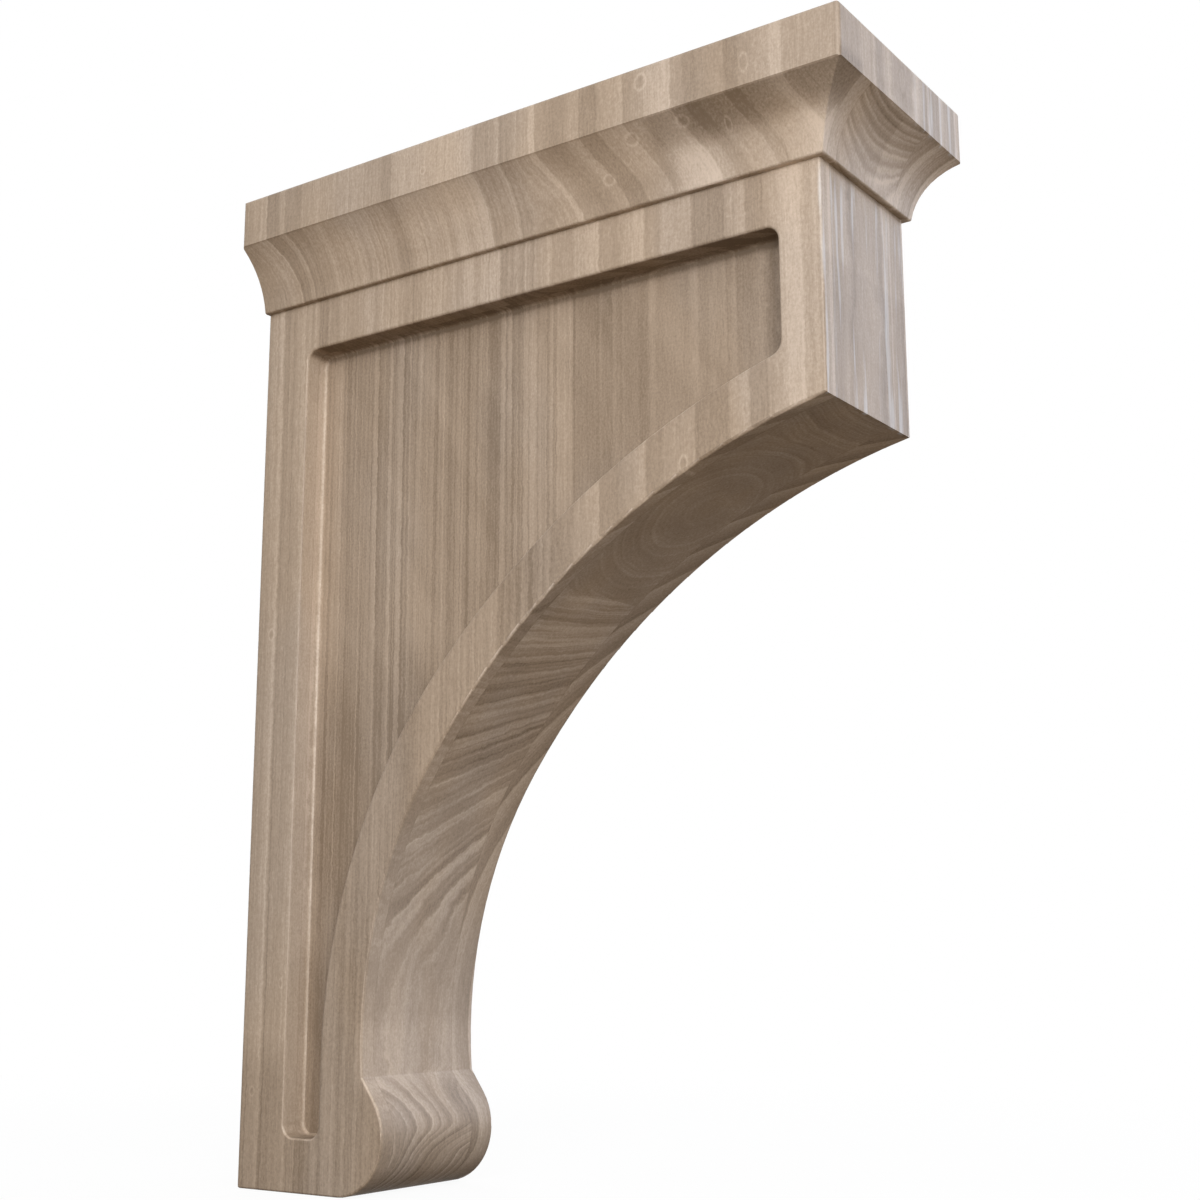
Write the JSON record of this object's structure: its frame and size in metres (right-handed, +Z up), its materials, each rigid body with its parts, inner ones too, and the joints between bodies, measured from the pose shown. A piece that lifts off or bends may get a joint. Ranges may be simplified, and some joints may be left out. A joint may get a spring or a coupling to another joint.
{
  "type": "wooden bracket",
  "caption": "Carved hardwood shelf bracket with a coved crown, a sunk panel on each side and a curved underside that ends in a rolled toe.",
  "frame": {"origin": "on the wall plane, at the top of the back face and in the middle of the width, where the wall meets the underside of the shelf", "axes": "+X points out from the wall, +Z points up, and Y runs across the width, with Y = 0 in the middle"},
  "size_m": [0.1778, 0.0636, 0.254],
  "materials": {
    "hardwood": "planed and sanded hardwood with a thin satin coat, grain running up and down"
  },
  "bodies": {
    "root": {"bracket": "hardwood"}
  },
  "joints": []
}
